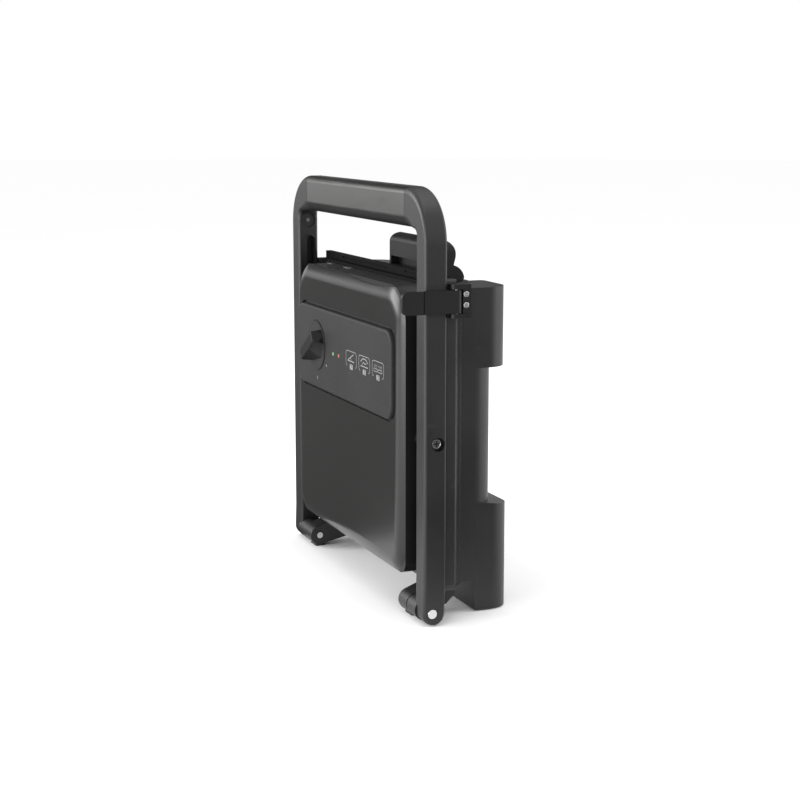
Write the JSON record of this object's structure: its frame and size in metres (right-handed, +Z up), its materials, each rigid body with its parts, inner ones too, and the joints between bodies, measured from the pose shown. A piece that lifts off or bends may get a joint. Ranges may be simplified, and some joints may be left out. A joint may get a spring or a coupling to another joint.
{
  "type": "contact grill",
  "caption": "Electric contact grill with hinged handle frame, floating lid and ribbed plates, parked upright on its hinge lugs and rear feet.",
  "frame": {"origin": "middle of the footprint, on the surface that the grill stands on when it is parked on end", "axes": "+Z up, from the hinge end to the grip; -Y out of the lid's face, +Y out of the base's rear; +X towards the clasp side"},
  "size_m": [0.35, 0.1192, 0.372],
  "materials": {
    "frame_plastic": "satin, fine moulded texture",
    "grip_metal": "satin dark metallic",
    "black_plastic": "fine matt moulded texture",
    "cover_paint": "smooth semi-gloss",
    "panel_plastic": "satin",
    "knob_plastic": "satin",
    "base_plastic": "satin, fine moulded texture",
    "plate_coating": "non-stick coating on cast aluminium",
    "steel": "turned, bright",
    "dark_steel": "blackened, turned",
    "heater_sheath": "dull, heat-stained",
    "reflector": "rolled bright sheet",
    "rubber": "matt",
    "lens_green": "clear coloured",
    "lens_orange": "clear coloured",
    "insulator": "ceramic white"
  },
  "bodies": {
    "base": {"base_rim": "base_plastic", "base_shell": "base_plastic", "foot_lower_left": "base_plastic", "foot_lower_right": "base_plastic", "foot_upper_left": "base_plastic", "foot_upper_right": "base_plastic", "rear_pads": "rubber", "stand_pads": "rubber", "hinge_lug_left": "base_plastic", "hinge_lug_right": "base_plastic", "hinge_pin_left": "steel", "hinge_pin_right": "steel", "lower_plate": "plate_coating", "lower_heater": "heater_sheath", "lower_reflector": "reflector", "terminal_block": "insulator", "thermal_fuse": "steel", "cord_gland": "rubber", "clasp_bracket": "black_plastic", "clasp_pin": "steel", "bracket_screws": "steel", "shell_screws": "steel"},
    "frame": {"arm_left": "frame_plastic", "arm_right": "frame_plastic", "grip_core": "black_plastic", "grip_cover": "grip_metal", "grip_screws": "dark_steel", "lid_pivot_pins": "dark_steel"},
    "lid": {"lid_cover": "cover_paint", "lid_underframe": "black_plastic", "control_panel": "panel_plastic", "power_lamp": "lens_green", "ready_lamp": "lens_orange", "thermostat": "insulator", "upper_plate": "plate_coating", "upper_heater": "heater_sheath", "upper_reflector": "reflector", "plate_clips": "steel", "lid_screws": "steel"},
    "knob": {"knob": "knob_plastic", "knob_dial": "panel_plastic", "thermostat_shaft": "steel"},
    "clasp": {"clasp_strap": "black_plastic"},
    "tray": {"drip_tray": "black_plastic", "tray_pull": "black_plastic"}
  },
  "joints": [
    {"name": "frame_open", "type": "hinge", "parent": "base", "child": "frame", "pos_m": [0, -0.0293, 0.0112], "axis": [1, 0, 0], "range_deg": [0, 180]},
    {"name": "lid_tilt", "type": "hinge", "parent": "frame", "child": "lid", "pos_m": [0, -0.0244, 0.1582], "axis": [1, 0, 0], "range_deg": [-12, 0]},
    {"name": "knob_turn", "type": "hinge", "parent": "lid", "child": "knob", "pos_m": [-0.0675, -0.0483, 0.213], "axis": [0, 1, 0], "range_deg": [0, 270]},
    {"name": "clasp_swing", "type": "hinge", "parent": "base", "child": "clasp", "pos_m": [0.1728, -0.0089, 0.2786], "axis": [0, 0, 1], "range_deg": [0, 95]},
    {"name": "tray_slide", "type": "slide", "parent": "base", "child": "tray", "axis": [0, 0, 1], "range_m": [0, 0.105]}
  ],
  "couplings": [
    {"joint": "lid_tilt", "follows": "frame_open", "ratio": -0.055556}
  ]
}
